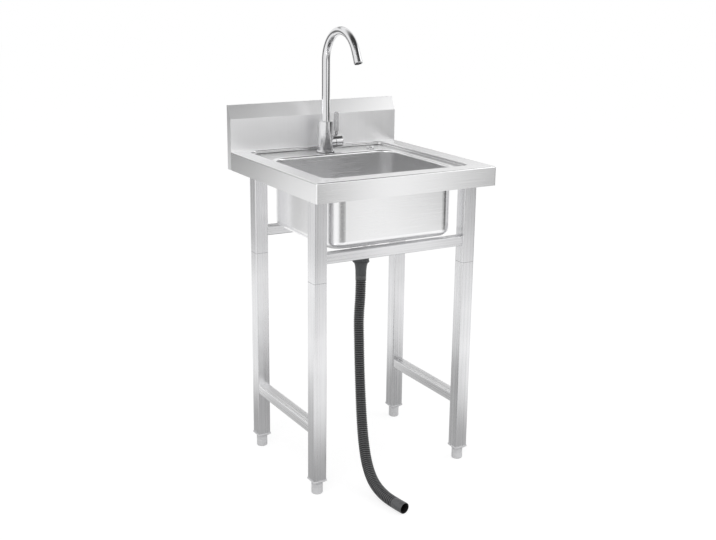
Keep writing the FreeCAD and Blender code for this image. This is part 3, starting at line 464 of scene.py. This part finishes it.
hose = {
    "route": [
        (0, -0.0225, 0.499),
        (0, -0.0225, 0.445),
        (-0.006, -0.024, 0.383),
        (-0.0095, -0.034, 0.318),
        (-0.017, -0.051, 0.253),
        (-0.029, -0.078, 0.192),
        (-0.0465, -0.116, 0.136),
        (-0.065, -0.159, 0.0885),
        (-0.0805, -0.2035, 0.052),
        (-0.091, -0.252, 0.0285),
        (-0.093, -0.303, 0.018),
        (-0.0875, -0.348, 0.0155),
        (-0.0805, -0.383, 0.0146),
    ],
    "routeOrder": 3,
    "routeSteps": 24,
    "crestRadius": 0.0142,
    "rootRadius": 0.0124,
    "boreRadius": 0.0110,
    "boreSteps": 60,
    "mouthRadius": 0.0127,
    "mouthDepth": 0.022,
    "ribPitch": 0.0059,
    # along one rib: share of the pitch, and height from root 0 to crest 1
    "ribShape": [
        (0.04, 0.0), (0.18, 0.15), (0.30, 0.7), (0.38, 1.0),
        (0.48, 1.0), (0.56, 0.7), (0.68, 0.15), (0.82, 0.0),
    ],
    "smoothTop": 0.013,
    "smoothEnd": 0.036,
    "endStep": 0.0008,
    "endMiddle": 0.02,
    "lipRound": 0.0007,
    "lipCorner": 0.3,
    "mouthCorner": 0.4,
    "sides": 32,
    # what ribHeight says in the grooves and on the smooth lengths, where a crest is 1; it sets
    # the painted highlight and shade
    "grooveHeight": 0.2,
    "smoothHeight": 0.75,
}


def smoothLine(name, look):
    curve = bpy.data.curves.new(name, "CURVE")
    curve.dimensions = "3D"
    curve.resolution_u = look["routeSteps"]
    spline = curve.splines.new("NURBS")
    spline.points.add(len(look["route"]) - 1)
    for point, place in zip(spline.points, look["route"]):
        point.co = (*place, 1)
    spline.order_u = look["routeOrder"]
    spline.use_endpoint_u = True
    holder = bpy.data.objects.new(name, curve)
    bpy.context.scene.collection.objects.link(holder)
    bpy.context.view_layer.update()
    depsgraph = bpy.context.evaluated_depsgraph_get()
    line = bpy.data.meshes.new_from_object(holder.evaluated_get(depsgraph))
    places = [vertex.co.copy() for vertex in line.vertices]
    bpy.data.objects.remove(holder)
    return places


class Line:
    # a line of points that gives its place and direction at any distance along it
    def __init__(self, places):
        self.places = places
        self.marks = [0.0]
        for here, there in zip(places, places[1:]):
            self.marks.append(self.marks[-1] + (there - here).length)
        self.length = self.marks[-1]

    def at(self, distance):
        last = len(self.places) - 2
        step = 0
        while step < last and self.marks[step + 1] < distance:
            step += 1
        run = self.marks[step + 1] - self.marks[step]
        share = (distance - self.marks[step]) / run
        here, there = self.places[step], self.places[step + 1]
        before = self.places[max(step - 1, 0)]
        after = self.places[min(step + 2, last + 1)]
        lead = (there - before).normalized().lerp((after - here).normalized(), share)
        return here.lerp(there, share), lead.normalized()


def hoseStations(look, length):
    # distance along the hose, radius, and ribHeight, which sets the painted highlight and shade:
    # out along the outside, back along the bore
    ribbed = length - look["smoothTop"] - look["smoothEnd"]
    count = round(ribbed / look["ribPitch"])
    pitch = ribbed / count
    crest, rise = look["crestRadius"], look["crestRadius"] - look["rootRadius"]
    groove, smooth = look["grooveHeight"], look["smoothHeight"]
    lip = look["lipRound"]
    corner = lip * look["lipCorner"]
    stations = [(0.0, crest - lip, smooth), (corner, crest - corner, smooth)]
    stations += [(lip, crest, smooth), (look["smoothTop"], crest, smooth)]
    for rib in range(count):
        start = look["smoothTop"] + rib * pitch
        for share, height in look["ribShape"]:
            # painted shade in the grooves, painted highlight on the crests
            tone = groove + (1 - groove) * height
            stations.append((start + share * pitch, look["rootRadius"] + rise * height, tone))
    endStart = length - look["smoothEnd"]
    for distance in (endStart + look["endStep"], length - look["endMiddle"], length - lip):
        stations.append((distance, crest, smooth))
    stations += [(length - corner, crest - corner, smooth), (length, crest - lip, smooth)]
    bore, mouth = look["boreRadius"], look["mouthRadius"]
    throat = length - look["mouthDepth"]
    stations.append((length, mouth + lip * look["mouthCorner"], smooth))
    stations += [(length - lip, mouth, 0.0), (throat, bore, 0.0)]
    for step in range(look["boreSteps"], -1, -1):
        stations.append((throat * step / (look["boreSteps"] + 1), bore, 0.0))
    return stations


def buildHose(look):
    line = Line(smoothLine("hoseLine", look))
    form = bmesh.new()
    heightLayer = form.verts.layers.float.new("ribHeight")
    side = Vector((1, 0, 0))
    rings = []
    for distance, radius, height in hoseStations(look, line.length):
        place, lead = line.at(distance)
        side = (side - lead * side.dot(lead)).normalized()
        other = lead.cross(side)
        ring = []
        for turn in range(look["sides"]):
            angle = 2 * math.pi * turn / look["sides"]
            offset = side * math.cos(angle) + other * math.sin(angle)
            corner = form.verts.new(place + offset * radius)
            corner[heightLayer] = height
            ring.append(corner)
        rings.append(ring)
    for ring, following in zip(rings, rings[1:] + rings[:1]):
        for corner in range(look["sides"]):
            beside = (corner + 1) % look["sides"]
            form.faces.new((ring[corner], ring[beside], following[beside], following[corner]))
    bmesh.ops.recalc_face_normals(form, faces=form.faces)
    mesh = bpy.data.meshes.new("hose_ribbed")
    form.to_mesh(mesh)
    form.free()
    mesh.shade_smooth()
    piece = bpy.data.objects.new("hose_ribbed", mesh)
    bpy.context.scene.collection.objects.link(piece)
    piece.data.materials.append(ribbedHose)
    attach(piece, "unit")
    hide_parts("drain_hose")
    print("hose made, length", round(line.length, 4), "m")


buildHose(hose)


# floor, background and light

studio = {
    "floorSize": 30,
    "floorTone": (0.80, 0.80, 0.80),
    "floorRoughness": 0.9,
    "shownShare": 0.30,
    "shownGlow": 0.76,
    "worldLevel": 0.80,
    "lampAim": (0, 0, 0.6),
}
lamps = {
    "key": {"power": 22, "size": 1.6, "place": (-1.4, -1.6, 2.6)},
    "fill": {"power": 10, "size": 1.8, "place": (2.0, -1.2, 1.8)},
}

# soft-edged grey cards that only reflections show: tone, middle, width and height, facing
cards = {
    "frontLeftCard": {
        "tone": 0.30, "middle": (-0.03, -1.25, 0.46),
        "size": (1.1, 0.8), "facing": (0, 1, 0),
    },
    "frontRightCard": {
        "tone": 0.50, "middle": (1.14, -1.25, 0.50),
        "size": (1.0, 0.60), "facing": (0, 1, 0),
    },
    "panelCard": {
        "tone": 0.02, "middle": (0.867, -0.439, 0.68),
        "size": (0.8, 0.95), "facing": (-0.562, 0.827, 0),
    },
    "backLeftCard": {
        "tone": 0.18, "middle": (-1.00, 2.08, 0.35),
        "size": (1.5, 0.9), "facing": (1, 0, 0),
    },
    "tapLeftCard": {
        "tone": 0.20, "middle": (-0.77, 1.09, 0.90),
        "size": (1.5, 0.7), "facing": (0.642, -0.766, 0),
    },
    "tapRightCard": {
        "tone": 0.20, "middle": (1.18, -0.04, 0.90),
        "size": (1.5, 0.7), "facing": (-0.984, 0.174, 0),
    },
    "behindCard": {
        "tone": 0.20, "middle": (0.65, 1.30, 0.85),
        "size": (2.0, 0.50), "facing": (-0.5, -0.866, 0),
    },
    "cameraCard": {
        "tone": 0.20, "middle": (-0.35, -1.18, 0.95),
        "size": (0.66, 0.76), "facing": (0.249, 0.969, 0),
    },
    "slopeCard": {
        "tone": 0.05, "middle": (-0.05, -0.45, 1.85),
        "size": (3.0, 2.3), "facing": (0, 0, -1),
    },
    "highCard": {
        "tone": 0.40, "middle": (0.10, 1.70, 2.05),
        "size": (2.4, 0.50), "facing": (0, -0.8, -0.6),
    },
    # painted shade: a dark card on the floor under the unit stands in for the shaded floor that
    # reflections show
    "floorShadeCard": {
        "tone": 0.45, "middle": (0.0, 0.0, 0.002),
        "size": (1.7, 1.6), "facing": (0, 0, 1),
    },
}
cardFade = 0.6  # share of a card's width and height that its soft edges take


def whiteBackdrop(tree, shown, lit):
    # shown is for camera, glossy and transmission rays, lit for all others
    path = addNode(tree, "ShaderNodeLightPath").outputs
    seen = computed(tree, "MAXIMUM", path["Is Camera Ray"], path["Is Glossy Ray"])
    seen = computed(tree, "MAXIMUM", seen, path["Is Transmission Ray"])
    return mixedShader(tree, seen, lit, shown)


def buildWorld(look):
    world = bpy.data.worlds.new("studio")
    world.use_nodes = True
    tree = world.node_tree
    lit = tree.nodes["Background"]
    lit.inputs["Color"].default_value = (1, 1, 1, 1)
    lit.inputs["Strength"].default_value = look["worldLevel"]
    shown = addNode(tree, "ShaderNodeBackground", Strength=1.0, Color=(1, 1, 1, 1))
    backdrop = whiteBackdrop(tree, shown.outputs["Background"], lit.outputs["Background"])
    tree.links.new(backdrop, tree.nodes["World Output"].inputs["Surface"])
    bpy.context.scene.world = world


def addPlane(name, size):
    bpy.ops.mesh.primitive_plane_add(size=size)
    plane = bpy.context.object
    plane.name = name
    return plane


def buildFloor(look):
    floor = addPlane("floor", look["floorSize"])
    finish, tree, shader = newFinish("pale floor")
    shader.inputs["Base Color"].default_value = (*look["floorTone"], 1)
    shader.inputs["Roughness"].default_value = look["floorRoughness"]
    glow = addNode(tree, "ShaderNodeEmission", Strength=look["shownGlow"])
    shade = addNode(tree, "ShaderNodeBsdfDiffuse", Color=(look["shownShare"],) * 3 + (1,))
    white = addNode(tree, "ShaderNodeAddShader")
    tree.links.new(glow.outputs["Emission"], white.inputs[0])
    tree.links.new(shade.outputs["BSDF"], white.inputs[1])
    backdrop = whiteBackdrop(tree, white.outputs["Shader"], shader.outputs["BSDF"])
    tree.links.new(backdrop, tree.nodes["Material Output"].inputs["Surface"])
    floor.data.materials.append(finish)


def softEdge(tree):
    # 1 over the middle of a plane of size 1, down to 0 at its sides
    halfSide = 0.5
    place = splitPlace(tree)
    fades = []
    for axis in "XY":
        fade = addNode(tree, "ShaderNodeMapRange", interpolation_type="SMOOTHSTEP")
        fade.inputs["From Min"].default_value = halfSide
        fade.inputs["From Max"].default_value = halfSide - cardFade / 2
        tree.links.new(computed(tree, "ABSOLUTE", place[axis]), fade.inputs["Value"])
        fades.append(fade.outputs["Result"])
    return computed(tree, "MULTIPLY", *fades)


def hangCard(name, look):
    card = addPlane(name, 1)
    card.scale = (*look["size"], 1)
    card.location = look["middle"]
    card.rotation_euler = Vector(look["facing"]).to_track_quat("Z", "Y").to_euler()
    finish, tree = newFinish(name)[:2]
    glow = addNode(tree, "ShaderNodeEmission", Strength=1.0, Color=(look["tone"],) * 3 + (1,))
    clear = addNode(tree, "ShaderNodeBsdfTransparent")
    edged = mixedShader(tree, softEdge(tree), clear.outputs["BSDF"], glow.outputs["Emission"])
    tree.links.new(edged, tree.nodes["Material Output"].inputs["Surface"])
    card.data.materials.append(finish)
    card.visible_camera = False
    card.visible_diffuse = False
    card.visible_shadow = False


def softLamp(name, look, aim):
    light = bpy.data.lights.new(name, "AREA")
    light.energy = look["power"]
    light.size = look["size"]
    lamp = bpy.data.objects.new(name, light)
    lamp.location = look["place"]
    lamp.rotation_euler = (Vector(look["place"]) - Vector(aim)).to_track_quat("Z", "Y").to_euler()
    bpy.context.scene.collection.objects.link(lamp)


buildWorld(studio)
buildFloor(studio)
for cardName, cardLook in cards.items():
    hangCard(cardName, cardLook)
for lampName, lampLook in lamps.items():
    softLamp(lampName, lampLook, studio["lampAim"])
bpy.context.scene.view_settings.view_transform = "Standard"
print("studio built")
